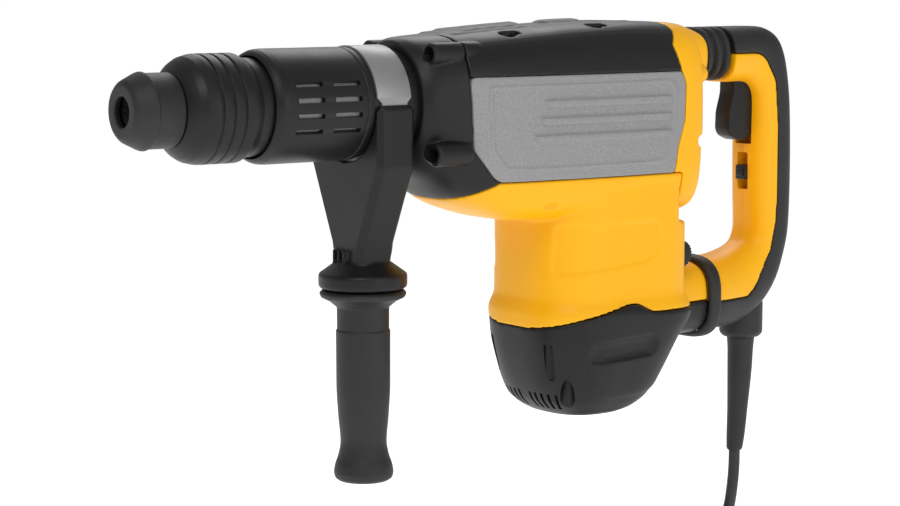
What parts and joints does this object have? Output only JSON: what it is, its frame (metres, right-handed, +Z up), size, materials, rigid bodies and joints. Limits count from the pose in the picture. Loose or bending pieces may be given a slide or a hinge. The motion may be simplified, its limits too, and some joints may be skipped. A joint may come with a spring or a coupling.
{
  "type": "demolition hammer",
  "caption": "Corded demolition hammer with a locking-sleeve tool holder, clamped side handle, sprung rear D-handle with trigger, and an upright motor.",
  "frame": {"origin": "on the spindle axis, in the middle of the side handle's clamp", "axes": "+X along the spindle, from the nose towards the rear handle; +Z up, away from the motor; the side handle hangs along -Z"},
  "size_m": [0.5239, 0.1702, 0.4093],
  "materials": {
    "black_plastic": "satin moulded, fine grain",
    "black_rubber": "matt",
    "cord_rubber": "matt",
    "yellow_plastic": "satin moulded",
    "panel_grey": "speckled satin",
    "grey_casting": "as cast",
    "band_steel": "drawn, satin",
    "bright_steel": "turned",
    "dark_steel": "blackened",
    "copper": "turned copper"
  },
  "bodies": {
    "housing": {"barrel_tube": "grey_casting", "barrel_shroud": "black_plastic", "front_case": "black_plastic", "crank_case": "grey_casting", "top_cover": "black_plastic", "side_panel_left": "panel_grey", "side_panel_right": "panel_grey", "motor_housing": "yellow_plastic", "motor_cap": "black_plastic", "rear_cover": "yellow_plastic", "gear_plate": "grey_casting", "stator": "dark_steel", "brush_carrier": "black_plastic", "brush_left": "dark_steel", "brush_right": "dark_steel", "handle_tongue": "dark_steel", "lower_seal": "black_rubber", "bellows": "black_rubber", "cord": "cord_rubber", "cord_coil": "cord_rubber", "cord_tail": "cord_rubber", "plug": "cord_rubber", "case_screw_upper_left": "dark_steel", "case_screw_upper_right": "dark_steel", "case_screw_lower_left": "dark_steel", "case_screw_lower_right": "dark_steel", "cap_screw_1": "dark_steel", "cap_screw_2": "dark_steel", "cap_screw_3": "dark_steel", "cap_screw_4": "dark_steel"},
    "spindle": {"tool_holder": "bright_steel", "hammer_tube": "bright_steel", "dust_cap": "black_rubber", "sleeve_spring": "bright_steel"},
    "sleeve": {"locking_sleeve": "black_plastic"},
    "striker": {"beat_piece": "dark_steel"},
    "ram": {"ram": "dark_steel"},
    "piston": {"piston": "bright_steel", "wrist_pin": "dark_steel", "connecting_rod": "grey_casting"},
    "counter": {"counter_gear": "dark_steel"},
    "crank": {"crankshaft": "dark_steel"},
    "rotor": {"armature": "dark_steel", "commutator": "copper", "cooling_fan": "black_plastic"},
    "rear_handle": {"handle_shell_left": "yellow_plastic", "handle_shell_right": "yellow_plastic", "soft_grip": "black_rubber", "cord_collar": "black_rubber", "cord_boot": "black_rubber", "pivot_pin": "bright_steel", "trigger_switch": "black_plastic"},
    "trigger": {"trigger": "black_plastic"},
    "lock": {"lock_slider": "black_plastic"},
    "selector": {"mode_selector": "black_plastic"},
    "dial": {"speed_dial": "black_plastic"},
    "side_handle": {"clamp_bracket": "black_plastic", "clamp_band": "band_steel", "clamp_bolt": "bright_steel"},
    "grip": {"side_grip": "black_rubber"}
  },
  "joints": [
    {"name": "spindle_spin", "type": "hinge", "parent": "housing", "child": "spindle", "pos_m": [0, 0, 0], "axis": [1, 0, 0], "continuous": true},
    {"name": "counter_spin", "type": "hinge", "parent": "housing", "child": "counter", "pos_m": [0.1396, 0, -0.04], "axis": [0, 0, 1], "continuous": true},
    {"name": "armature_spin", "type": "hinge", "parent": "housing", "child": "rotor", "pos_m": [0.172, 0, -0.09], "axis": [0, 0, 1], "continuous": true},
    {"name": "crank_spin", "type": "hinge", "parent": "housing", "child": "crank", "pos_m": [0.205, 0, -0.04], "axis": [0, 0, 1], "continuous": true},
    {"name": "piston_slide", "type": "slide", "parent": "housing", "child": "piston", "axis": [1, 0, 0], "range_m": [0, 0.026]},
    {"name": "ram_slide", "type": "slide", "parent": "housing", "child": "ram", "axis": [1, 0, 0], "range_m": [-0.024, 0.028]},
    {"name": "striker_slide", "type": "slide", "parent": "spindle", "child": "striker", "axis": [1, 0, 0], "range_m": [-0.0018, 0]},
    {"name": "sleeve_slide", "type": "slide", "parent": "spindle", "child": "sleeve", "axis": [1, 0, 0], "range_m": [0, 0.008], "stiffness_N_per_m": 2500, "springref_m": -0.004, "deforming": ["sleeve_spring"]},
    {"name": "rear_handle_tilt", "type": "hinge", "parent": "housing", "child": "rear_handle", "pos_m": [0.276, 0, -0.141], "axis": [0, -1, 0], "range_deg": [0, 2], "stiffness_Nm_per_rad": 300, "springref_deg": -0.57, "deforming": ["bellows"]},
    {"name": "trigger_pull", "type": "hinge", "parent": "rear_handle", "child": "trigger", "pos_m": [0.317, 0, 0.009], "axis": [0, -1, 0], "range_deg": [0, 7], "stiffness_Nm_per_rad": 2, "springref_deg": -5.73},
    {"name": "lock_slide", "type": "slide", "parent": "rear_handle", "child": "lock", "axis": [0, 0, 1], "range_m": [0, 0.007]},
    {"name": "selector_turn", "type": "hinge", "parent": "housing", "child": "selector", "pos_m": [0.2, 0, 0.04], "axis": [0, 0, 1], "range_deg": [-90, 90]},
    {"name": "dial_turn", "type": "hinge", "parent": "housing", "child": "dial", "pos_m": [0.2315, -0.034, -0.107], "axis": [0, 1, 0], "range_deg": [-150, 150]},
    {"name": "side_handle_swing", "type": "hinge", "parent": "housing", "child": "side_handle", "pos_m": [0, 0, 0], "axis": [1, 0, 0], "continuous": true},
    {"name": "grip_turn", "type": "hinge", "parent": "side_handle", "child": "grip", "pos_m": [0, 0, -0.15], "axis": [0, 0, 1], "continuous": true}
  ],
  "couplings": [
    {"joint": "counter_spin", "follows": "spindle_spin", "ratio": -2.931},
    {"joint": "armature_spin", "follows": "spindle_spin", "ratio": 16.853},
    {"joint": "crank_spin", "follows": "spindle_spin", "ratio": -2.8687}
  ]
}
